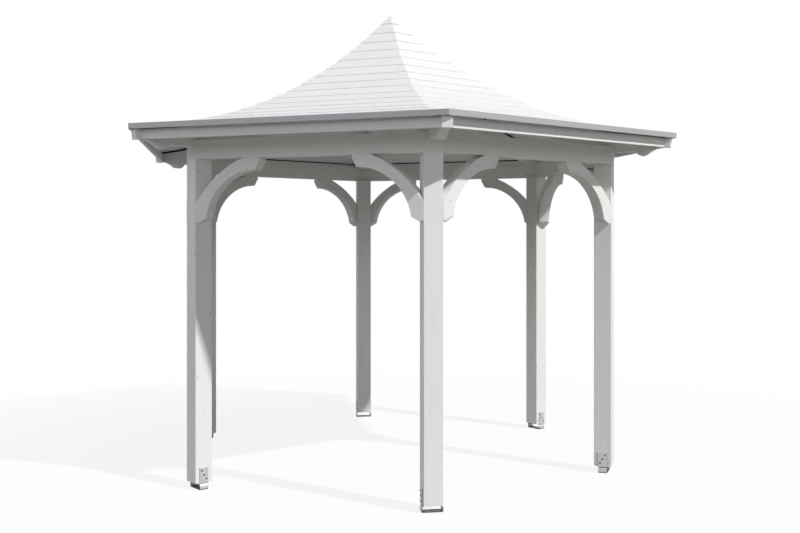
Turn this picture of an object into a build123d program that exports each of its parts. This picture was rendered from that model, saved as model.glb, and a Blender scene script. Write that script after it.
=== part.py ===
"""Six-sided timber garden gazebo: an open frame of posts, curved braces and a mitred ring of
beams, under a bell-cast boarded roof carried by six curved hip rafters.

Millimetres, +Z up.  The origin is on the ground at the centre of the plan.  One post stands
straight ahead on -Y, so two sides face +X and -X.
"""
from math import atan, atan2, cos, hypot, radians, sin, sqrt, tan
import os

from build123d import *

os.makedirs("parts", exist_ok=True)

# Posts and their steel bases
post_circle_r = 1596      # centre of the plan to the centre of each post
post_size = 120
post_length = 2090
post_chamfer = 3
post_lift = 45            # end grain held clear of the ground
strap_width = 60
strap_thickness = 5
strap_rise = 100          # leg of the base above the foot of the post
strap_bend_r = 8          # outside of the bend
bead_drop = 2             # leg starts to turn in under the foot of the post
bead_in = 5
bead_down = 5.5           # from there to the fold
flare_out = 1.5           # sides below the fold stand out from the leg
flare_down = 10.5         # from the fold to where they are upright
anchor_hole_r = 6

# Ring of beams on the post tops
beam_height = 120
beam_thickness = 90

# Curved braces, measured from the post's side and down from the beam
brace_thickness = 87
brace_reach = 459         # along the beam
brace_drop = 402          # down the post
brace_beam_gap = 344      # beam left open between post and brace
brace_post_gap = 289      # post left open between beam and brace
brace_back_out = 106      # a point that the long curve passes through
brace_back_down = 156
brace_toe = 78            # both ends of the hollow curve lie this far from post and beam
brace_hollow_r = 356
brace_toe_angle = 8.6     # the hollow starts this far above the level of its centre
brace_low_nose_out = 24   # small end cuts past both seats
brace_low_nose_down = 10
brace_high_nose_out = 4
brace_high_nose_down = 20

# Roof: two arcs that meet without a kink, steep above and nearly flat at the eave
overhang = 325            # boards' edge beyond the ring, square to a side
eave_rise = 85            # boards' edge above the ring
roof_rise = 965           # eave to apex
roof_pitch = 49           # degrees, at the apex
eave_pitch = 3.5
board_thickness = 20
batten_thickness = 16
batten_width = 36
batten_setback = 5
trim_thickness = 18
trim_gap = 1              # between the trim and what lies under it

# Hip rafters and the block that they meet at
rafter_width = 62
rafter_depth = 140
rafter_setback = 19       # tip of the tail behind the corner of the boards
rafter_end_lean = 10      # end face leans out by this at the eave's level
seat_play = 2
tail_length = 229         # shaped part, back from the tip
tail_bump_length = 76
tail_bump_out = 42        # lowest point of the bump
tail_bump_down = 28
tail_bump_end_down = 17
tail_sweep_out = 137      # a point that the hollow sweep passes through
tail_sweep_up = 17
tail_tip_up = 23
block_half = 60           # across flats, halved
block_stub = 25           # below the rafters

# Fascia between the rafter ends
fascia_setback = 36       # outer face behind the boards' edge
fascia_thickness = 22
fascia_height = 63

# Levels and lines that follow from these
half_side = 30            # half the angle of a side, degrees
front_angle = -90         # towards the front post
half_cos = cos(radians(half_side))
half_sin = sin(radians(half_side))
half_tan = tan(radians(half_side))
post_out = post_circle_r + post_size / 2
ring_out = post_out * half_cos + post_size / 2 * half_sin
ring_in = ring_out - beam_thickness
beam_z = post_lift + post_length
ring_z = beam_z + beam_height
eave_z = ring_z + eave_rise
apex_z = eave_z + roof_rise
sky_z = apex_z + post_size
roof_run = ring_out + overhang
trim_out = roof_run + trim_thickness
fascia_run = roof_run - fascia_setback
fascia_in = fascia_run - fascia_thickness
rafter_end = roof_run / half_cos - rafter_setback
supports_drop = board_thickness + batten_thickness
trim_height = supports_drop - trim_gap
belly_depth = supports_drop + rafter_depth

corner_names = ("front", "front_right", "back_right", "back", "back_left", "front_left")
side_names = ("front_right", "right", "back_right", "back_left", "left", "front_left")
corners = {name: front_angle + 2 * half_side * place for place, name in enumerate(corner_names)}
sides = {name: front_angle + half_side * (2 * place + 1) for place, name in enumerate(side_names)}
battens = []
fascias = []


def direction(angle):
    """Level unit vector at this angle from +X."""
    return Vector(cos(radians(angle)), sin(radians(angle)), 0)


def plan_plane(angle, height=0):
    """Level plane at this height, its X pointing out at the angle."""
    return Plane(origin=(0, 0, height), x_dir=direction(angle), z_dir=(0, 0, 1))


def upright_plane(angle):
    """Upright plane through the axis, X out at the angle and Y up."""
    return Plane(origin=(0, 0, 0), x_dir=direction(angle), z_dir=direction(angle - 90))


# The arcs of the roof's section have equal tangents, and meet halfway between their ends
apex_slope = radians(-roof_pitch)
eave_slope = radians(-eave_pitch)
along = roof_run * (cos(apex_slope) + cos(eave_slope)) - roof_rise * (sin(apex_slope) + sin(eave_slope))
bend = 2 * (1 - cos(apex_slope - eave_slope))
tangent = (sqrt(along**2 + bend * (roof_run**2 + roof_rise**2)) - along) / bend
break_run = (roof_run + tangent * (cos(apex_slope) - cos(eave_slope))) / 2
break_rise = (roof_rise + tangent * (sin(apex_slope) - sin(eave_slope))) / 2
break_slope = 2 * atan2(break_rise - roof_rise, break_run) - apex_slope
upper_r = hypot(break_run, roof_rise - break_rise) / (2 * sin((break_slope - apex_slope) / 2))
lower_r = hypot(roof_run - break_run, break_rise) / (2 * sin((eave_slope - break_slope) / 2))


def break_point(drop):
    """Where the arcs meet, on the surface set drop under the boards' top."""
    return (break_run + drop * sin(break_slope), eave_z + break_rise - drop * cos(break_slope))


def roof_height(run, drop=0):
    """Height of that surface at this run from the axis, square to a side."""
    radius = upper_r if run < break_point(drop)[0] else lower_r
    centre_run = break_run - radius * sin(break_slope)
    centre_z = eave_z + break_rise + radius * cos(break_slope)
    return centre_z - sqrt((radius + drop) ** 2 - (run - centre_run) ** 2)


def roof_line(drop, start, end):
    """The section of that surface, drawn into the open BuildLine."""
    joint = break_point(drop)
    upper_middle = (start + joint[0]) / 2
    lower_middle = (joint[0] + end) / 2
    ThreePointArc((start, roof_height(start, drop)), (upper_middle, roof_height(upper_middle, drop)), joint)
    ThreePointArc(joint, (lower_middle, roof_height(lower_middle, drop)), (end, roof_height(end, drop)))


def roof_layer(side_angle, top_drop, bottom_drop):
    """Draw into the open BuildPart what lies between two of those surfaces, too wide at both ends."""
    with BuildSketch(upright_plane(side_angle)) as layer:
        with BuildLine():
            roof_line(top_drop, -block_half, roof_run)
            roof_line(bottom_drop, -block_half, roof_run)
            for run in (-block_half, roof_run):
                Line((run, roof_height(run, top_drop)), (run, roof_height(run, bottom_drop)))
        make_face()
    extrude(layer.sketch, amount=roof_run, both=True)


def clear_over(drop, corner_angle):
    """Take away from the open BuildPart what stands above that surface beside a corner."""
    start = -block_half * 2
    for side_angle in (corner_angle - half_side, corner_angle + half_side):
        with BuildSketch(upright_plane(side_angle)) as over:
            with BuildLine():
                roof_line(drop, start, trim_out)
                Polyline(
                    (trim_out, roof_height(trim_out, drop)),
                    (trim_out, sky_z * 2),
                    (start, sky_z * 2),
                    (start, roof_height(start, drop)),
                )
            make_face()
        extrude(over.sketch, amount=roof_run, both=True, mode=Mode.SUBTRACT)


# The underside of a hip rafter is an arc through three points, each set square to the hip
def hip_point(run, rise, slope):
    """The point under the hip there, the rafter's full depth below the boards' top."""
    hip_slope = atan(tan(slope) * half_cos)
    return (run / half_cos + belly_depth * sin(hip_slope), eave_z + rise - belly_depth * cos(hip_slope))


belly = ThreePointArc(
    hip_point(0, roof_rise, apex_slope),
    hip_point(break_run, break_rise, break_slope),
    hip_point(roof_run, 0, eave_slope),
)


def belly_point(run):
    """Point of that arc at this distance from the axis."""
    return (run, belly.arc_center.Y - sqrt(belly.radius**2 - (run - belly.arc_center.X) ** 2))


for corner, angle in corners.items():
    # A planed square post, one face turned outward
    with BuildPart() as post:
        with BuildSketch(plan_plane(angle, post_lift)):
            with Locations((post_circle_r, 0)):
                Rectangle(post_size, post_size)
        extrude(amount=post_length)
        chamfer(post.edges().filter_by(Axis.Z), post_chamfer)
    post.part.label = f"{corner}_post"
    export_step(post.part, f"parts/{corner}_post.step")

    # A bent flat steel strap: a floor with an anchor hole, sides folded in to carry the post's
    # edges, and a leg up each side of the post
    across = Plane(
        origin=direction(angle) * post_circle_r, x_dir=direction(angle + 90), z_dir=direction(angle)
    )
    strap_out = post_size / 2 + strap_thickness
    strap_top = post_lift + strap_rise
    leg_end = post_lift - bead_drop
    fold = leg_end - bead_down
    right_side = [
        (strap_out + flare_out, 0),
        (strap_out + flare_out, fold - flare_down),
        (strap_out - bead_in, fold),
        (strap_out, leg_end),
        (strap_out, strap_top),
    ]
    left_side = [(-out, up) for out, up in reversed(right_side)]
    with BuildPart() as base:
        with BuildSketch(across) as bend:
            with BuildLine():
                outside = Polyline(*left_side, *right_side)
                offset(outside, amount=strap_thickness, side=Side.LEFT)
            make_face()
            fillet(bend.vertices().group_by(Axis.Y)[0], strap_bend_r)
            fillet(bend.vertices().group_by(Axis.Y)[1], strap_bend_r - strap_thickness)
        extrude(amount=strap_width / 2, both=True)
        with BuildSketch(plan_plane(angle)):
            with Locations((post_circle_r, 0)):
                Circle(anchor_hole_r)
        extrude(amount=strap_thickness, mode=Mode.SUBTRACT)
    base.part.label = f"{corner}_post_base"
    export_step(base.part, f"parts/{corner}_post_base.step")

    # Two curved braces, in the planes of the two sides that meet here, bevelled to the post
    post_edge = direction(angle) * post_out + direction(angle + 90) * post_size / 2 + Vector(0, 0, beam_z)
    brace_plane = Plane(
        origin=post_edge, x_dir=direction(angle + half_side + 90), z_dir=direction(angle + half_side)
    )
    post_side = Plane(origin=direction(angle + 90) * (post_size / 2), z_dir=direction(angle + 90))
    toe_cos = cos(radians(brace_toe_angle))
    hollow = Vector(brace_toe + brace_hollow_r * toe_cos, -brace_toe - brace_hollow_r)
    low_toe = hollow + Vector(-brace_hollow_r, 0).rotate(Axis.Z, -brace_toe_angle)
    hollow_middle = hollow + Vector(-brace_hollow_r, 0).rotate(Axis.Z, -(90 + brace_toe_angle) / 2)
    high_toe = hollow + Vector(0, brace_hollow_r)
    low_nose = (brace_low_nose_out, -brace_drop - brace_low_nose_down)
    high_nose = (brace_reach + brace_high_nose_out, -brace_high_nose_down)
    back_middle = (brace_back_out, -brace_back_down)
    with BuildPart() as braces:
        with BuildSketch(brace_plane):
            with BuildLine():
                ThreePointArc((brace_beam_gap, 0), back_middle, (0, -brace_post_gap))
                Polyline((0, -brace_post_gap), (0, -brace_drop), low_nose, low_toe)
                ThreePointArc(low_toe, hollow_middle, high_toe)
                Polyline(high_toe, high_nose, (brace_reach, 0), (brace_beam_gap, 0))
            make_face()
        extrude(amount=-brace_thickness)
        split(bisect_by=post_side, keep=Keep.TOP)
        mirror(about=upright_plane(angle))
    braces.part.label = f"{corner}_braces"
    export_step(braces.part, f"parts/{corner}_braces.step")

    # A hip rafter sawn to the roof's curve, notched over the ring, with a shaped tail
    notch_run = (ring_in - rafter_width / 2 * half_sin) / half_cos - seat_play
    heel = belly_point(post_out)
    bump_start = (rafter_end - tail_length, heel[1])
    bump_low = (bump_start[0] + tail_bump_out, heel[1] - tail_bump_down)
    bump_end = (bump_start[0] + tail_bump_length, heel[1] - tail_bump_end_down)
    sweep_middle = (bump_start[0] + tail_sweep_out, heel[1] + tail_sweep_up)
    tip = (rafter_end, heel[1] + tail_tip_up)
    end_top = (rafter_end + rafter_end_lean, eave_z)
    with BuildPart() as rafter:
        with BuildSketch(upright_plane(angle)):
            with BuildLine():
                ThreePointArc(
                    belly_point(block_half),
                    belly_point((block_half + notch_run) / 2),
                    belly_point(notch_run),
                )
                Polyline(belly_point(notch_run), (notch_run, ring_z), (post_out, ring_z), heel, bump_start)
                ThreePointArc(bump_start, bump_low, bump_end)
                ThreePointArc(bump_end, sweep_middle, tip)
                Polyline(tip, end_top, (end_top[0], sky_z), (block_half, sky_z), belly_point(block_half))
            make_face()
        extrude(amount=rafter_width / 2, both=True)
        clear_over(supports_drop, angle)
    rafter.part.label = f"{corner}_hip_rafter"
    export_step(rafter.part, f"parts/{corner}_hip_rafter.step")

    # A narrower batten along the hip keeps the boards clear of the rafter
    with BuildPart() as batten:
        roof_layer(angle + half_side, board_thickness, supports_drop)
        with BuildSketch(plan_plane(angle, beam_z)):
            with Locations((block_half, 0)):
                Rectangle(
                    rafter_end - batten_setback - block_half, batten_width / 2, align=(Align.MIN, Align.MIN)
                )
        extrude(amount=sky_z - beam_z, mode=Mode.INTERSECT)
        mirror(about=upright_plane(angle))
    battens.append(batten.part)

for side, angle in sides.items():
    # A beam of the ring, mitred at both ends, its points cut off flush with the posts
    mitre_half = post_out * half_sin
    outer_half = mitre_half - post_size / 2 * half_cos
    with BuildPart() as beam:
        with BuildSketch(plan_plane(angle, beam_z)):
            with BuildLine():
                Polyline(
                    (ring_in, -ring_in * half_tan),
                    (post_out * half_cos, -mitre_half),
                    (ring_out, -outer_half),
                    (ring_out, outer_half),
                    (post_out * half_cos, mitre_half),
                    (ring_in, ring_in * half_tan),
                    close=True,
                )
            make_face()
        extrude(amount=beam_height)
    beam.part.label = f"{side}_beam"
    export_step(beam.part, f"parts/{side}_beam.step")

    # One side of the boarded roof, mitred at the hips
    with BuildPart() as panel:
        roof_layer(angle, 0, board_thickness)
        with BuildSketch(plan_plane(angle, beam_z)):
            with BuildLine():
                edge_half = roof_run * half_tan
                Polyline((0, 0), (roof_run, -edge_half), (roof_run, edge_half), close=True)
            make_face()
        extrude(amount=sky_z - beam_z, mode=Mode.INTERSECT)
    panel.part.label = f"{side}_roof_panel"
    export_step(panel.part, f"parts/{side}_roof_panel.step")

    # The edging nailed over the boards' lower edge, hanging past them as a drip
    with BuildPart() as trim:
        with BuildSketch(plan_plane(angle, eave_z - trim_height)):
            with BuildLine():
                Polyline(
                    (roof_run, -roof_run * half_tan),
                    (trim_out, -trim_out * half_tan),
                    (trim_out, trim_out * half_tan),
                    (roof_run, roof_run * half_tan),
                    close=True,
                )
            make_face()
        extrude(amount=trim_height)
    trim.part.label = f"{side}_eave_trim"
    export_step(trim.part, f"parts/{side}_eave_trim.step")

    # A fascia board fitted between the sides of two rafters
    rafter_share = rafter_width / 2 / half_cos
    with BuildPart() as fascia:
        with BuildSketch(plan_plane(angle, roof_height(fascia_run, supports_drop) - fascia_height)):
            with BuildLine():
                Polyline(
                    (fascia_in, -fascia_in * half_tan + rafter_share),
                    (fascia_run, -fascia_run * half_tan + rafter_share),
                    (fascia_run, fascia_run * half_tan - rafter_share),
                    (fascia_in, fascia_in * half_tan - rafter_share),
                    close=True,
                )
            make_face()
        extrude(amount=fascia_height)
    fascias.append(fascia.part)

# The block that the six rafters are fixed to, under the apex
with BuildPart() as block:
    block_z = belly_point(block_half)[1] - block_stub
    with BuildSketch(plan_plane(corners["front"], block_z)):
        RegularPolygon(radius=block_half, side_count=6, major_radius=False, rotation=half_side)
    extrude(amount=sky_z - block_z)
    for angle in (corners["front"], corners["back_right"], corners["back_left"]):
        clear_over(board_thickness, angle)
block.part.label = "apex_block"
export_step(block.part, "parts/apex_block.step")

for name, pieces in (("hip_battens", battens), ("fascia_boards", fascias)):
    export_step(Compound(children=pieces, label=name), f"parts/{name}.step")
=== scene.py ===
import math

import bmesh
import bpy
import numpy as np
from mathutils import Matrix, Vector


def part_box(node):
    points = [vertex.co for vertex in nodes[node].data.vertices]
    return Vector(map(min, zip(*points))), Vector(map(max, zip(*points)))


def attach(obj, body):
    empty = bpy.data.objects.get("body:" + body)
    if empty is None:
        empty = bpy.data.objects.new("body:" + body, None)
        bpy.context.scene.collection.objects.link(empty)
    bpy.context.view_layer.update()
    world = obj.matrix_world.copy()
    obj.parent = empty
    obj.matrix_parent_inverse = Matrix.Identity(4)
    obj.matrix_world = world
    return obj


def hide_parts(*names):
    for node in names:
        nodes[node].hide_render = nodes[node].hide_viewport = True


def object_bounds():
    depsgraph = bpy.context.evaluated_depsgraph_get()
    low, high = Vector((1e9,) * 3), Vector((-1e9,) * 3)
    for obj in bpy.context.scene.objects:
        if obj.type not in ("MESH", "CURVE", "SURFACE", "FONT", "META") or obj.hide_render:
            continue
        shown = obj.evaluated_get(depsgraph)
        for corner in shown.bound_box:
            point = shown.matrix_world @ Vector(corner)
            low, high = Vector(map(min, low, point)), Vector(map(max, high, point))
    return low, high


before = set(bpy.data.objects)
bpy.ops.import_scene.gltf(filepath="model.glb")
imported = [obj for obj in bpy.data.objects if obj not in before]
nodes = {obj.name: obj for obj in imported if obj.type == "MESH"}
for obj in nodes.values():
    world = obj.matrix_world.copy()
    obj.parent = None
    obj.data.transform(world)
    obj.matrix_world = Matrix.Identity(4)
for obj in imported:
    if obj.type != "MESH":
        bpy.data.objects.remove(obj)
cad_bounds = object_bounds()


# ---- Post bases ----
# Each post stands on a strap of flat steel, bent to a U and hot-dip galvanised, with a leg up two sides
# of the post.  The zinc is dull grey with a faint spangle.  It is near black on the faces along the
# plan's radius, which are the sawn edges, and has painted shade on faces that look down and on the floor
# of the strap under the post.
corner_names = ("front", "front_right", "back_right", "back", "back_left", "front_left")
strap_edge = 0.0012             # roundness of the strap's long edges
edge_steps = 2                  # flats across a rounded edge
edge_angle = math.radians(40)   # sharper edges than this are rounded
weld_gap = 0.00002              # corners nearer than this are one

zinc = (0.61, 0.615, 0.62, 1)
zinc_dark = (0.50, 0.505, 0.515, 1)
zinc_roughness = (0.36, 0.56)
# painted shade on faces that look down
down_face_shade = (0.13, 0.13, 0.13, 1)
down_face_shade_cover = 0.9
# near black on faces along the plan's radius, the strap's sawn edges
radial_face_black = (0.055, 0.055, 0.058, 1)
# painted shade on the floor of the strap under the post, below the given height
under_post_shade = (0.12, 0.118, 0.112, 1)
under_post_shade_cover = 0.85
under_post_shade_height = (0.006, 0.012)
spangle_size = 0.012
cloud_scale = 30.0              # clouds of dullness to the metre
cloud_span = (0.35, 0.75)       # noise between which they thicken
noise_span = (0.3, 0.7)         # between which most noise lies
turned_down = (-0.2, -0.6)      # upward share of the normal, from no painted shade to the full one
square_to_plan = (0.75, 0.95)   # outward share of the normal, from flat side to sawn edge
zinc_dent = 0.0004
zinc_dent_strength = 0.5


def shader_node(tree, kind, inputs=None, **settings):
    """A node of this kind; each input gets a value, or is joined to another node's output."""
    made = tree.nodes.new("ShaderNode" + kind)
    for name, value in settings.items():
        setattr(made, name, value)
    for name, value in (inputs or {}).items():
        if isinstance(value, bpy.types.NodeSocket):
            tree.links.new(value, made.inputs[name])
        else:
            made.inputs[name].default_value = value
    return made


def reckon(tree, operation, *values, kind="Math", output=0):
    """The result of this operation on the values, which are numbers, or vectors for VectorMath."""
    return shader_node(tree, kind, dict(enumerate(values)), operation=operation).outputs[output]


def blend(tree, share, first, second):
    """The output of a colour mix: first where share is 0 and second where it is 1."""
    mix = shader_node(tree, "Mix", data_type="RGBA", blend_type="MIX")
    for socket, value in ((mix.inputs[0], share), (mix.inputs[6], first), (mix.inputs[7], second)):
        if isinstance(value, bpy.types.NodeSocket):
            tree.links.new(value, socket)
        else:
            socket.default_value = value
    return mix.outputs[2]


def spread(tree, value, low, high, to_low=0.0, to_high=1.0):
    """The value, carried from the range low to high onto the range to_low to to_high."""
    ramp = shader_node(tree, "MapRange", {0: value, 1: low, 2: high, 3: to_low, 4: to_high})
    return ramp.outputs[0]


def noise(tree, place, scale, detail):
    """Soft noise about 0.5, with this many swells to a unit of place and this many finer octaves."""
    made = shader_node(tree, "TexNoise", {"Vector": place, "Scale": scale, "Detail": detail})
    return made.outputs["Fac"]


def new_material(name, **finish):
    """A material with one Principled shader, whose plain values are given by name."""
    material = bpy.data.materials.new(name)
    material.use_nodes = True
    shader = material.node_tree.nodes["Principled BSDF"]
    for socket, value in finish.items():
        shader.inputs[socket.replace("_", " ")].default_value = value
    return material, material.node_tree, shader


def relief(tree, shader, height, depth, strength):
    """Shade the surface as if it stood out by the height times this depth, as far as strength says."""
    bump = shader_node(tree, "Bump", {"Height": height, "Distance": depth, "Strength": strength})
    tree.links.new(bump.outputs[0], shader.inputs["Normal"])


def galvanised_steel():
    """Zinc on flat steel: spangle cells of slightly different grey, and a cloudy dullness over them. A
    sawn edge faces straight towards or away from the middle of the plan, which the share of the
    surface's normal along that direction shows, and is made near black there.  Faces that look down, and
    the strap's floor near the ground under the post, are darkened as painted shade."""
    material, tree, shader = new_material("galvanised steel", Metallic=0.5)
    coordinates = shader_node(tree, "TexCoord").outputs
    place, normal = coordinates["Object"], coordinates["Normal"]
    outward = reckon(tree, "MULTIPLY", place, (1, 1, 0), kind="VectorMath")
    outward = reckon(tree, "NORMALIZE", outward, kind="VectorMath")
    facing = reckon(tree, "DOT_PRODUCT", normal, outward, kind="VectorMath", output="Value")
    facing = reckon(tree, "ABSOLUTE", facing)
    rise = shader_node(tree, "SeparateXYZ", {0: normal}).outputs["Z"]
    above = shader_node(tree, "SeparateXYZ", {0: place}).outputs["Z"]
    spangle = shader_node(tree, "TexVoronoi", {"Vector": place, "Scale": 1 / spangle_size})
    cloud = noise(tree, place, cloud_scale, detail=5.0)
    grey = blend(tree, spread(tree, spangle.outputs["Color"], 0.0, 1.0), zinc_dark, zinc)
    dulled = blend(tree, spread(tree, cloud, *cloud_span), grey, zinc)
    # painted shade on faces that look down; near black on faces along the plan's radius; painted shade
    # on the strap's floor under the post
    down_shaded = blend(tree, spread(tree, rise, *turned_down, 0.0, down_face_shade_cover), dulled, down_face_shade)
    radial_blackened = blend(tree, spread(tree, facing, *square_to_plan), down_shaded, radial_face_black)
    under_post_shaded = blend(tree, spread(tree, above, *under_post_shade_height, under_post_shade_cover, 0.0), radial_blackened, under_post_shade)
    tree.links.new(under_post_shaded, shader.inputs["Base Color"])
    tree.links.new(spread(tree, cloud, *noise_span, *zinc_roughness), shader.inputs["Roughness"])
    relief(tree, shader, cloud, zinc_dent, zinc_dent_strength)
    return material


def finish_node(name, material, edge):
    """Give a solid piece its material, join its loose corners, and ease its edges by this much."""
    piece = nodes[name]
    piece.data.materials.clear()
    piece.data.materials.append(material)
    weld = piece.modifiers.new("join", "WELD")
    weld.merge_threshold = weld_gap
    ease = piece.modifiers.new("ease", "BEVEL")
    ease.width = edge
    ease.segments = edge_steps
    ease.limit_method = "ANGLE"
    ease.angle_limit = edge_angle
    ease.use_clamp_overlap = True


steel = galvanised_steel()
for corner in corner_names:
    finish_node(f"{corner}_post_base", steel, strap_edge)


# ---- Screws of the post bases ----
# Three black pan-head screws fix each leg, on a slant so that they don't split the post.  A strap
# has the upper hole on the outer side of one leg and the inner side of the other, and stands
# either way round.  Each screw has a star-shaped recess for the driver.
corner_step = math.radians(60)
front_angle = math.radians(-90)
corner_angles = {
    corner: front_angle + corner_step * order for order, corner in enumerate(corner_names)
}
screw_head_r = 0.0055
screw_head_rise = 0.0032
screw_profile = np.array([   # radius and rise of each ring, as shares of the head's, rim to middle
    (1.0, 0.0), (1.0, 0.3), (0.9, 0.62), (0.68, 0.88), (0.52, 1.0), (0.47, 1.0), (0.44, 0.3), (0.0, 0.3),
])
screw_around = 30
recess_share = 0.5         # rings narrower than this are the recess
star_points = 6
star_depth = 0.13          # share by which the recess's radius swells and shrinks
screw_top_drop = 0.021     # upper screw below the end of the leg
screw_pitch = 0.027
screw_shift = 0.0165       # upper and lower screws either side of the leg's middle line
turned_round = ("front_right", "back")
same_point = 0.000001      # points nearer than this are one

screw_black = (0.012, 0.012, 0.013, 1)
screw_worn = (0.05, 0.05, 0.05, 1)
screw_roughness = (0.35, 0.55)
wear_scale = 420.0
wear_span = (0.55, 0.8)


def screw_heads(name, centres, outwards):
    """One mesh of like screw heads: rings about each centre, in the plane square to its outward
    direction.  A ring's radius and rise come from the profile, and in the recess the radius is
    multiplied by one plus the star's depth times the cosine of six times the turn."""
    turn = np.linspace(0, 2 * np.pi, screw_around, endpoint=False)
    star = 1 + star_depth * np.cos(star_points * turn)
    in_recess = (screw_profile[:, 0] < recess_share)[:, None]
    radius = screw_head_r * screw_profile[:, :1] * np.where(in_recess, star, 1.0)
    rise = screw_head_rise * screw_profile[:, 1:2] * np.ones_like(turn)
    up = np.array((0.0, 0.0, 1.0))
    outwards = np.asarray(outwards)
    level = np.cross(up, outwards)
    points = (
        np.asarray(centres)[:, None, None]
        + level[:, None, None] * (radius * np.cos(turn))[None, :, :, None]
        + up * (radius * np.sin(turn))[None, :, :, None]
        + outwards[:, None, None] * rise[None, :, :, None]
    )
    rings = len(screw_profile)
    across, around = np.meshgrid(np.arange(rings - 1), np.arange(screw_around), indexing="ij")
    beside = (around + 1) % screw_around
    quads = np.stack([
        across * screw_around + around,
        across * screw_around + beside,
        (across + 1) * screw_around + beside,
        (across + 1) * screw_around + around,
    ], -1).reshape(-1, 4)
    start = np.arange(len(centres)) * rings * screw_around
    faces = (quads[None] + start[:, None, None]).reshape(-1, 4)
    backs = start[:, None] + np.arange(screw_around)[::-1]
    mesh = bpy.data.meshes.new(name)
    mesh.from_pydata(points.reshape(-1, 3), [], faces.tolist() + backs.tolist())
    mesh.polygons.foreach_set("use_smooth", np.arange(len(mesh.polygons)) < len(faces))
    return mesh


def join_piece(name, mesh, material):
    """Put a mesh into the scene as a piece that goes with the object.  Points that lie together,
    as round a pole, become one."""
    form = bmesh.new()
    form.from_mesh(mesh)
    bmesh.ops.remove_doubles(form, verts=form.verts, dist=same_point)
    form.to_mesh(mesh)
    form.free()
    mesh.materials.append(material)
    mesh.validate()
    mesh.update()
    piece = bpy.data.objects.new(name, mesh)
    bpy.context.scene.collection.objects.link(piece)
    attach(piece, "root")
    return piece


def level_direction(angle):
    """Level unit vector at this angle from +X: its cosine along X and its sine along Y."""
    return np.array((math.cos(angle), math.sin(angle), 0.0))


def object_place(tree):
    """Where a point of the surface lies on the object, in metres."""
    return shader_node(tree, "TexCoord").outputs["Object"]


def black_screw():
    """Black-passivated steel, a little worn on the crown of the head."""
    material, tree, shader = new_material("black screw", Specular_IOR_Level=0.3)
    wear = noise(tree, object_place(tree), wear_scale, detail=3.0)
    worn = blend(tree, spread(tree, wear, *wear_span), screw_black, screw_worn)
    tree.links.new(worn, shader.inputs["Base Color"])
    tree.links.new(spread(tree, wear, *noise_span, *screw_roughness), shader.inputs["Roughness"])
    return material


screw_centres = []
screw_outwards = []
for corner, angle in corner_angles.items():
    outward = level_direction(angle)
    beside = level_direction(angle + math.pi / 2)
    low, high = (np.array(c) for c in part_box(f"{corner}_post_base"))
    post_centre = (low + high) / 2 * (1, 1, 0)
    strap = nodes[f"{corner}_post_base"].data.vertices
    points = np.empty(3 * len(strap))
    strap.foreach_get("co", points)
    points = points.reshape(-1, 3)
    legs = points[points[:, 2] > high[2] / 2]
    leg_out = np.abs((legs - post_centre) @ beside).max()
    slant = -1 if corner in turned_round else 1
    for leg in (-1, 1):
        for row in (-1, 0, 1):
            aside = screw_shift * row * leg * slant
            height = high[2] - screw_top_drop - screw_pitch * (row + 1)
            screw_centres.append(post_centre + beside * leg * leg_out - outward * aside + (0, 0, height))
            screw_outwards.append(beside * leg)
join_piece("base_screws", screw_heads("base_screws", screw_centres, screw_outwards), black_screw())


# ---- Posts ----
# Planed softwood, 120 mm square with narrow chamfers, and two coats of white opaque paint.  The
# paint is thin enough to show the grain as faint streaks, and the knots as small grey marks.
timber_edge = 0.0018
paint = (0.86, 0.862, 0.85, 1)
paint_cool = (0.80, 0.805, 0.80, 1)
paint_roughness = (0.56, 0.72)

streak_scale = (2.2, 55.0)      # swells to the metre, along the grain and across it
streak_span = (0.36, 0.66)
streak_cover = 0.55             # share of the cool shade where it is strongest
blush_scale = 1.7               # the coat's cloudiness
blush_span = (0.4, 0.7)
blush_cover = 0.35
board_cover = 0.35              # for the roof board that leans furthest to the shade
fibre_scale = (14.0, 420.0)

knot_stain = (0.42, 0.415, 0.405, 1)
knot_halo = (0.78, 0.775, 0.76, 1)
knot_spacing = 0.078
knot_stretch = 0.72             # cells along the grain for one across it
knot_r = 0.0062
knot_fade = (1.0, 0.45)         # in knot radii, from no stain to the full one
halo_fade = (2.4, 0.8)
halo_cover = 0.6                # against the knot's own
wobble_scale = 90.0
wobble_reach = 0.03             # unevenness of a knot's outline, in spacings

grain_depth = 0.0004
grain_strength = 0.6
knot_dent = -1.5                # against the fibres' height, as is the streaks'
streak_height = 0.8


def turned(tree, place, grain):
    """Coordinates turned the shortest way that brings the grain onto X."""
    turn = Vector(grain).rotation_difference(Vector((1, 0, 0))).to_euler()
    return shader_node(tree, "Mapping", {"Vector": place, "Rotation": turn}).outputs[0]


def grain_place(tree, grain):
    """Object coordinates turned so that the grain runs along X."""
    return turned(tree, object_place(tree), grain)


def stretched(tree, place, along, across):
    """Coordinates that change this fast along the grain and across it, in turns to the metre."""
    return shader_node(tree, "Mapping", {"Vector": place, "Scale": (along, across, across)}).outputs[0]


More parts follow.
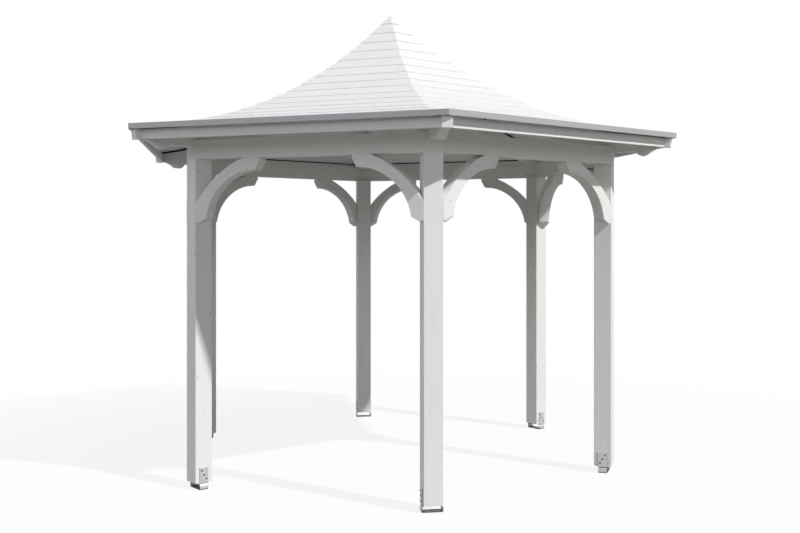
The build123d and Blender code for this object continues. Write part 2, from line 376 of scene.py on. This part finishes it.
def painted_timber(name, grain=(0, 0, 1), place_of=grain_place, coat=paint, shade=paint_cool,
                   knots_show=0.75, tone=None):
    """Paint over planed softwood.  Streaks are noise drawn out along the grain, and a knot is a
    spot round a point of a cell pattern, with a paler halo.  The attribute named by tone says how
    far a board leans to the shade, from 0 to 1."""
    material, tree, shader = new_material(name, Specular_IOR_Level=0.22)
    place = place_of(tree, grain)
    streak = noise(tree, stretched(tree, place, *streak_scale), scale=1.0, detail=5.0)
    fibre = noise(tree, stretched(tree, place, *fibre_scale), scale=1.0, detail=3.0)
    blush = noise(tree, place, blush_scale, detail=2.0)
    wobble = noise(tree, place, wobble_scale, detail=2.0)
    cells = stretched(tree, place, knot_stretch / knot_spacing, 1 / knot_spacing)
    knots = shader_node(tree, "TexVoronoi", {"Vector": cells, "Scale": 1.0}).outputs["Distance"]
    uneven = spread(tree, wobble, *noise_span, -wobble_reach, wobble_reach)
    reach = reckon(tree, "ADD", knots, uneven)
    radius = knot_r / knot_spacing
    knot = spread(tree, reach, radius * knot_fade[0], radius * knot_fade[1])
    halo = spread(tree, reach, radius * halo_fade[0], radius * halo_fade[1])

    toned = blend(tree, spread(tree, streak, *streak_span, 0.0, streak_cover), coat, shade)
    toned = blend(tree, spread(tree, blush, *blush_span, 0.0, blush_cover), toned, shade)
    if tone:
        own = shader_node(tree, "Attribute", attribute_name=tone).outputs["Fac"]
        toned = blend(tree, spread(tree, own, 0.0, 1.0, 0.0, board_cover), toned, shade)
    haloed = blend(tree, spread(tree, halo, 0.0, 1.0, 0.0, knots_show * halo_cover), toned, knot_halo)
    marked = blend(tree, spread(tree, knot, 0.0, 1.0, 0.0, knots_show), haloed, knot_stain)
    tree.links.new(marked, shader.inputs["Base Color"])
    tree.links.new(spread(tree, streak, *noise_span, *paint_roughness), shader.inputs["Roughness"])
    ridges = reckon(tree, "ADD", fibre, spread(tree, knot, 0.0, 1.0, 0.0, knot_dent))
    ridges = reckon(tree, "ADD", ridges, spread(tree, streak, *noise_span, 0.0, streak_height))
    relief(tree, shader, ridges, grain_depth, grain_strength)
    return material


upright_timber = painted_timber("painted timber upright")
for corner in corner_names:
    finish_node(f"{corner}_post", upright_timber, timber_edge / 2)


# ---- Ring of beams ----
# Six planed beams lie on the post tops, mitred where they meet over each post and cut off flush
# with it.  The same white paint covers them.
side_names = ("front_right", "right", "back_right", "back_left", "left", "front_left")
side_angles = {
    side: front_angle + corner_step * (order + 0.5) for order, side in enumerate(side_names)
}
level_timbers = {
    side: painted_timber(f"painted timber {side}", level_direction(angle + math.pi / 2))
    for side, angle in side_angles.items()
}
for side in side_names:
    finish_node(f"{side}_beam", level_timbers[side], timber_edge)


# ---- Curved braces ----
# Two braces at each post, sawn to a curve from thick plank, with cut-back noses.  Their grain
# runs straight from post to beam, so it leaves the edges at the ends of the curve.
brace_turn = 2 * corner_step    # from outwards to the level direction in which a brace leaves its post
brace_apart = 3.0               # shift of the grain between the two braces of the first post
brace_apart_more = 0.7          # and its growth from post to post


def brace_place(tree, corner):
    """Both braces of a post share coordinates that run outwards, sideways whichever the side, and
    up; a shift with the side's sign keeps their grain from matching.  The grain climbs at 45
    degrees away from the post."""
    place = object_place(tree)
    outward = level_direction(corner_angles[corner])
    beside = level_direction(corner_angles[corner] + math.pi / 2)
    out = reckon(tree, "DOT_PRODUCT", place, outward, kind="VectorMath", output="Value")
    side = reckon(tree, "DOT_PRODUCT", place, beside, kind="VectorMath", output="Value")
    apart = brace_apart + brace_apart_more * corner_names.index(corner)
    out = reckon(tree, "MULTIPLY_ADD", reckon(tree, "SIGN", side), apart, out)
    side = reckon(tree, "ABSOLUTE", side)
    height = shader_node(tree, "SeparateXYZ", {0: place}).outputs["Z"]
    folded = shader_node(tree, "CombineXYZ", {"X": out, "Y": side, "Z": height}).outputs[0]
    return turned(tree, folded, (math.cos(brace_turn), math.sin(brace_turn), 1))


for corner in corner_names:
    brace_timber = painted_timber(f"painted timber {corner} brace", corner, brace_place)
    finish_node(f"{corner}_braces", brace_timber, timber_edge)


# ---- Hip rafters, battens and the apex block ----
# Six rafters sawn to the roof's curve run from a block under the apex to the corners of the eave, where
# their tails are shaped.  A batten on each keeps the boards clear; the battens are near black, as
# painted shade for the dark slot between rafter and boards.
rafter_fall = math.radians(26)  # of the grain, from the apex to the eave
# near black, painted shade for the slots under the boards
slot_shade_black = (0.022, 0.022, 0.024, 1)
slot_shade_grey = (0.05, 0.049, 0.047, 1)
slot_shade_patch_scale = 25.0
slot_shade_patch_span = (0.45, 0.75)
slot_shade_grit_scale = 900.0
slot_shade_grit_depth = 0.0005
slot_shade_grit_strength = 0.7


def slot_shade_material():
    """Near black painted shade for the slots under the boards, with a fine grainy surface, a little
    greyer in patches.
    """
    material, tree, shader = new_material("black painted slot shade", Roughness=0.95, Specular_IOR_Level=0.1)
    place = object_place(tree)
    rub = noise(tree, place, slot_shade_patch_scale, detail=3.0)
    rubbed = blend(tree, spread(tree, rub, *slot_shade_patch_span), slot_shade_black, slot_shade_grey)
    tree.links.new(rubbed, shader.inputs["Base Color"])
    grit = noise(tree, place, slot_shade_grit_scale, detail=2.0)
    relief(tree, shader, grit, slot_shade_grit_depth, slot_shade_grit_strength)
    return material


slot_shade = slot_shade_material()
for corner, angle in corner_angles.items():
    down_the_hip = level_direction(angle) * math.cos(rafter_fall) - (0, 0, math.sin(rafter_fall))
    rafter_timber = painted_timber(f"painted timber {corner} rafter", down_the_hip)
    finish_node(f"{corner}_hip_rafter", rafter_timber, timber_edge)
finish_node("apex_block", upright_timber, timber_edge)
# the battens get near black painted shade, for the slot between rafter and boards
finish_node("hip_battens", slot_shade, timber_edge / 2)


# ---- Fascia boards ----
# Between two rafter ends a planed board, painted as they are, stands under the roof boards' edge.
# It is set back from that edge, which shades the upper part of its face.
finish_node("fascia_boards", level_timbers["front_right"], timber_edge)


# ---- Roof boards ----
# Tongued and grooved boards run round the roof in level courses, mitred at the hips, each turned a
# little against the last to follow the bell-cast curve.  A board is planed thinner towards its upper
# edge, so the next one stands proud of it and sheds rain, and has a V under each joint.
courses = 18
roof_pitch = math.radians(49)
eave_pitch = math.radians(3.5)
board_thickness = 0.020
board_gap = 0.0008         # from the joint to each board's edge, above the tongue
board_ease = 0.0008        # rounding of the upper edges
board_step = 0.0030        # the lower edge stands this much above the board below
under_gap = 0.0015         # from the joint to each board's edge, below the tongue
under_chamfer = 0.0040
groove = (0.009, 0.013)    # its depths below the board's top
groove_reach = 0.0060
tongue_reach = 0.0050      # how far the tongue passes the joint
tongue_play = 0.0005       # between the tongue and each side of the groove
mitre_gap = 0.0010
apex_flat = 0.0008         # half width of the cut at the very top
shortest_half = 0.0002     # of a board
grain_shift = 5.0          # how far along the pattern, either way, a board's grain may lie
grain_apart = 3.0          # times as far as that across the pattern

roof_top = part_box("right_roof_panel")[1]
eave_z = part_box("right_eave_trim")[1].z
roof_run = roof_top.x
roof_rise = roof_top.z - eave_z


def roof_arcs():
    """The roof's section is two arcs.  Tangents of the same length are laid off from both ends, so
    long that the line between their far ends is twice as long again, and the arcs meet at its
    middle.  An arc's chord slopes at the mean of its end pitches, and is twice its radius times the
    sine of half its turn.  Returns the pitch where the arcs meet, and the lower and upper radius."""
    along = roof_run * (math.cos(roof_pitch) + math.cos(eave_pitch))
    along += roof_rise * (math.sin(roof_pitch) + math.sin(eave_pitch))
    bend = 2 * (1 - math.cos(roof_pitch - eave_pitch))
    tangent = (math.sqrt(along**2 + bend * (roof_run**2 + roof_rise**2)) - along) / bend
    meet_run = (roof_run + tangent * (math.cos(roof_pitch) - math.cos(eave_pitch))) / 2
    meet_rise = (roof_rise - tangent * (math.sin(roof_pitch) - math.sin(eave_pitch))) / 2
    meet_pitch = 2 * math.atan2(roof_rise - meet_rise, meet_run) - roof_pitch
    lower = math.hypot(roof_run - meet_run, meet_rise) / (2 * math.sin((meet_pitch - eave_pitch) / 2))
    upper = math.hypot(meet_run, roof_rise - meet_rise) / (2 * math.sin((roof_pitch - meet_pitch) / 2))
    return meet_pitch, lower, upper


meet_pitch, lower_r, upper_r = roof_arcs()
lower_length = lower_r * (meet_pitch - eave_pitch)
roof_length = lower_length + upper_r * (roof_pitch - meet_pitch)


def roof_point(climb):
    """Run and height of the boards' top at these distances up the slope.  Along an arc the pitch
    grows by the distance over the radius, the run falls by the radius times the growth of the
    pitch's sine, and the height grows by the radius times the fall of its cosine."""
    low_part = np.minimum(climb, lower_length)
    high_part = np.maximum(climb - lower_length, 0)
    low_pitch = eave_pitch + low_part / lower_r
    high_pitch = meet_pitch + high_part / upper_r
    run = roof_run - lower_r * (np.sin(low_pitch) - np.sin(eave_pitch))
    run = run - upper_r * (np.sin(high_pitch) - np.sin(meet_pitch))
    height = eave_z + lower_r * (np.cos(eave_pitch) - np.cos(low_pitch))
    height = height + upper_r * (np.cos(meet_pitch) - np.cos(high_pitch))
    return run, height


def board_sections():
    """Run and height of each corner of each board's section, and its climb, as courses x corners.
    A corner is set in from the board's lower or upper edge, and down from the roof's curve, square
    to the chord between two joints.  The lower edge has the groove.  The upper edge has the same
    corners, but its two top ones lie deeper by the step, and its tongue stands past the joint.  A
    corner that would pass the cut at the very top is drawn back to it along the chord."""
    inset = np.array([board_gap + board_ease, board_gap, board_gap, groove_reach, groove_reach,
                      under_gap, under_gap, under_gap + under_chamfer])
    upper_inset = np.where(inset == groove_reach, -tongue_reach, inset)
    depth = np.array([0.0, board_ease, groove[0], groove[0], groove[1], groove[1],
                      board_thickness - under_chamfer, board_thickness])
    upper_depth = depth + board_step * (depth < groove[0])
    upper_depth += tongue_play * (depth == groove[0])
    upper_depth -= tongue_play * (depth == groove[1])
    joints = np.linspace(0, roof_length, courses + 1)
    run, height = roof_point(joints)
    chord = np.stack([np.diff(run), np.diff(height)], -1)
    width = np.linalg.norm(chord, axis=-1, keepdims=True)
    chord = chord / width
    down = np.stack([-chord[:, 1], chord[:, 0]], -1)
    starts = np.stack([run[:-1], height[:-1]], -1)
    from_lower = np.broadcast_to(inset, (courses, len(inset)))
    climb = np.concatenate([from_lower, (width - upper_inset)[:, ::-1]], 1)
    depths = np.concatenate([depth, upper_depth[::-1]])
    section = starts[:, None] + chord[:, None] * climb[..., None] + down[:, None] * depths[:, None]
    short = np.maximum(apex_flat - section[..., 0], 0)
    section = section + chord[:, None] * (short / chord[:, :1])[..., None]
    return section, joints[:-1, None] + climb


def roof_boards(name, angle, seed):
    """All boards of one side.  Each corner of a section is carried level from one hip to the
    other, so its two ends lie at plus and minus its run times the tangent of 30 degrees."""
    section, climb = board_sections()
    corners = section.shape[1]
    run, height = section[..., 0], section[..., 1]
    half = np.maximum(run * math.tan(corner_step / 2) - mitre_gap / 2, shortest_half)
    outward = level_direction(angle)
    beside = level_direction(angle + math.pi / 2)
    level = half[None] * np.array([-1.0, 1.0])[:, None, None]
    points = outward * run[None, ..., None] + beside * level[..., None]
    points[..., 2] = height
    index = np.arange(level.size).reshape(2, courses, corners)
    following = np.roll(index, -1, axis=2)
    sides = np.stack([index[0], following[0], following[1], index[1]], -1).reshape(-1, 4)
    caps = np.concatenate([index[0][:, ::-1], index[1]])
    mesh = bpy.data.meshes.new(name)
    mesh.from_pydata(points.reshape(-1, 3), [], sides.tolist() + caps.tolist())
    chance = np.random.default_rng(seed)
    shift = chance.uniform(-grain_shift, grain_shift, courses)[:, None]
    tone = chance.uniform(0, 1, courses)[:, None]
    grain = np.stack(np.broadcast_arrays(level + shift, climb, shift * grain_apart), -1)
    tones = np.broadcast_to(tone, level.shape)
    mesh.attributes.new("grain", "FLOAT_VECTOR", "POINT").data.foreach_set("vector", grain.ravel())
    mesh.attributes.new("tone", "FLOAT", "POINT").data.foreach_set("value", tones.ravel())
    return mesh


def board_place(tree, grain):
    """The boards' own attribute: metres along the board, metres up the roof, and the board's shift."""
    return shader_node(tree, "Attribute", attribute_name=grain).outputs["Vector"]


board_paint = painted_timber("painted roof board", "grain", board_place, tone="tone")
for seed, (side, angle) in enumerate(side_angles.items()):
    boards = roof_boards(f"{side}_roof_boards", angle, seed)
    boards = join_piece(f"{side}_roof_boards", boards, board_paint)
    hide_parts(f"{side}_roof_panel")


# ---- Eave edging ----
# A planed strip closes the boards' edge all round, mitred at the corners.  It is painted a light
# cool grey, which sets it off from the white timber.
edging_grey = (0.47, 0.475, 0.49, 1)
edging_worn = (0.43, 0.435, 0.45, 1)
edging_knots = 0.15
for side, angle in side_angles.items():
    strip = level_direction(angle + math.pi / 2)
    edging = painted_timber(
        f"grey edging {side}", strip, coat=edging_grey, shade=edging_worn, knots_show=edging_knots
    )
    finish_node(f"{side}_eave_trim", edging, timber_edge / 2)


# ---- Painted shade behind the eave edging ----
# A near black strip of the same material is turned down between the boards' edge and the edging, as
# painted shade in the slot over the fascia boards.
slot_shade_thickness = 0.003
slot_shade_clear = 0.0006        # from the boards' underside and the edging's foot
slot_shade_back = 0.0003         # from the edging's inner face


def slot_shade_ring(name):
    """A six-sided ring: the strip's section, four points as run and height, is set at each corner
    at its run over the cosine of 30 degrees, and the corners are joined in turn."""
    front = roof_run - slot_shade_back
    back = front - slot_shade_thickness
    top = eave_z - board_thickness - slot_shade_clear
    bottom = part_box("right_eave_trim")[0].z + slot_shade_clear
    section = np.array([(back, bottom), (front, bottom), (front, top), (back, top)])
    turns = np.array(list(corner_angles.values()))[:, None]
    reach = section[:, 0] / math.cos(corner_step / 2)
    heights = np.broadcast_to(section[:, 1], (len(turns), len(section)))
    points = np.stack([np.cos(turns) * reach, np.sin(turns) * reach, heights], -1)
    index = np.arange(heights.size).reshape(heights.shape)
    onward = np.roll(index, -1, axis=0)
    quads = np.stack([index, onward, np.roll(onward, -1, axis=1), np.roll(index, -1, axis=1)], -1)
    mesh = bpy.data.meshes.new(name)
    mesh.from_pydata(points.reshape(-1, 3), [], quads.reshape(-1, 4).tolist())
    return mesh


# a near black strip as painted shade in the slot over the fascia boards
eave_slot_shade = join_piece("eave_slot_shade", slot_shade_ring("eave_slot_shade"), slot_shade)


# ---- Setting ----
# A pale floor, a key light from the front right, a wide low fill from the left, and a sky that is
# bright low at the front and high at the left.  The camera is at a standing person's eye.
floor_half = 60.0
floor_z = cad_bounds[0].z
floor_white = (0.97, 0.97, 0.965, 1)
floor_warm = (0.28, 0.27, 0.252, 1)
floor_fade = (2.0, 6.0)         # metres from the middle, over which the floor turns to plain white
floor_plain = 0.86              # share of plain white at the object, where the rest takes its shadow

key_from = (0.533, -0.524, 0.664)
key_colour = (1.0, 0.992, 0.974)
fill_from = (-0.9, -0.05, 0.42)
fill_colour = (0.92, 0.96, 1.0)

white = (1, 1, 1, 1)
dark = (0.0, 0.0, 0.0, 1)
low_front = (1.05, 1.05, 1.04, 1)
low_back = (0.34, 0.34, 0.35, 1)
high_left = (0.23, 0.25, 0.32, 1)
high_right = (0.03, 0.036, 0.05, 1)
front_to_back = (-0.15, 0.15)
left_to_right = (-0.5, 0.5)
low_begins = (0.05, 0.11)       # upward share of the direction, where the low band rises from dark
high_begins = (0.26, 0.44)

eye = Vector((-1.164, -7.486, 1.648))
gaze = Vector((0.16703, 0.98595, 0.0))


def looked_at(tree):
    """1 for a ray from the camera or by way of gloss or glass, and 0 for one that lights a surface."""
    rays = shader_node(tree, "LightPath").outputs
    seen = reckon(tree, "MAXIMUM", rays["Is Camera Ray"], rays["Is Glossy Ray"])
    return reckon(tree, "MAXIMUM", seen, rays["Is Transmission Ray"])


def pale_floor():
    """A pale floor that shows nearly white, keeps the object's shadow and throws warm light back."""
    material = bpy.data.materials.new("pale floor")
    material.use_nodes = True
    tree = material.node_tree
    tree.nodes.remove(tree.nodes["Principled BSDF"])
    lit = shader_node(tree, "BsdfDiffuse", {"Color": floor_white}).outputs[0]
    plain = shader_node(tree, "Emission", {"Color": white, "Strength": 1.0}).outputs[0]
    thrown = shader_node(tree, "BsdfDiffuse", {"Color": floor_warm}).outputs[0]
    away = reckon(tree, "LENGTH", object_place(tree), kind="VectorMath", output="Value")
    share = spread(tree, away, *floor_fade, floor_plain, 1.0)
    shown = shader_node(tree, "MixShader", {0: share, 1: lit, 2: plain}).outputs[0]
    both = shader_node(tree, "MixShader", {0: looked_at(tree), 1: thrown, 2: shown}).outputs[0]
    tree.links.new(both, tree.nodes["Material Output"].inputs["Surface"])
    return material


floor_corners = np.array([(-1, -1, 0), (1, -1, 0), (1, 1, 0), (-1, 1, 0)]) * floor_half
floor_corners[:, 2] = floor_z
floor_mesh = bpy.data.meshes.new("floor")
floor_mesh.from_pydata(floor_corners, [], [(0, 1, 2, 3)])
floor_mesh.materials.append(pale_floor())
floor = bpy.data.objects.new("floor", floor_mesh)
bpy.context.scene.collection.objects.link(floor)


def lamp(name, towards, strength, colour, across):
    """A far lamp whose light comes from this direction, its size across given in degrees."""
    data = bpy.data.lights.new(name, "SUN")
    data.energy = strength
    data.color = colour
    data.angle = math.radians(across)
    made = bpy.data.objects.new(name, data)
    made.rotation_euler = Vector(towards).to_track_quat("Z", "Y").to_euler()
    bpy.context.scene.collection.objects.link(made)


lamp("key", key_from, strength=2.96, colour=key_colour, across=1.5)
lamp("fill", fill_from, strength=0.44, colour=fill_colour, across=50.0)

world = bpy.data.worlds.new("studio")
world.use_nodes = True
bpy.context.scene.world = world
sky = world.node_tree
direction = shader_node(sky, "TexCoord").outputs["Generated"]
compass = shader_node(sky, "SeparateXYZ", {0: direction}).outputs
low_band = blend(sky, spread(sky, compass["Y"], *front_to_back), low_front, low_back)
high_band = blend(sky, spread(sky, compass["X"], *left_to_right), high_left, high_right)
glow = blend(sky, spread(sky, compass["Z"], *low_begins), dark, low_band)
glow = blend(sky, spread(sky, compass["Z"], *high_begins), glow, high_band)
sky.links.new(blend(sky, looked_at(sky), glow, white), sky.nodes["Background"].inputs["Color"])

camera = bpy.data.cameras.new("camera")
camera.sensor_width = 36
camera.lens = 45.33
camera.shift_x = -0.0050
camera.shift_y = -0.0398
viewer = bpy.data.objects.new("camera", camera)
viewer.location = eye
viewer.rotation_euler = gaze.to_track_quat("-Z", "Y").to_euler()
bpy.context.scene.collection.objects.link(viewer)
bpy.context.scene.camera = viewer
bpy.context.scene.view_settings.view_transform = "Standard"
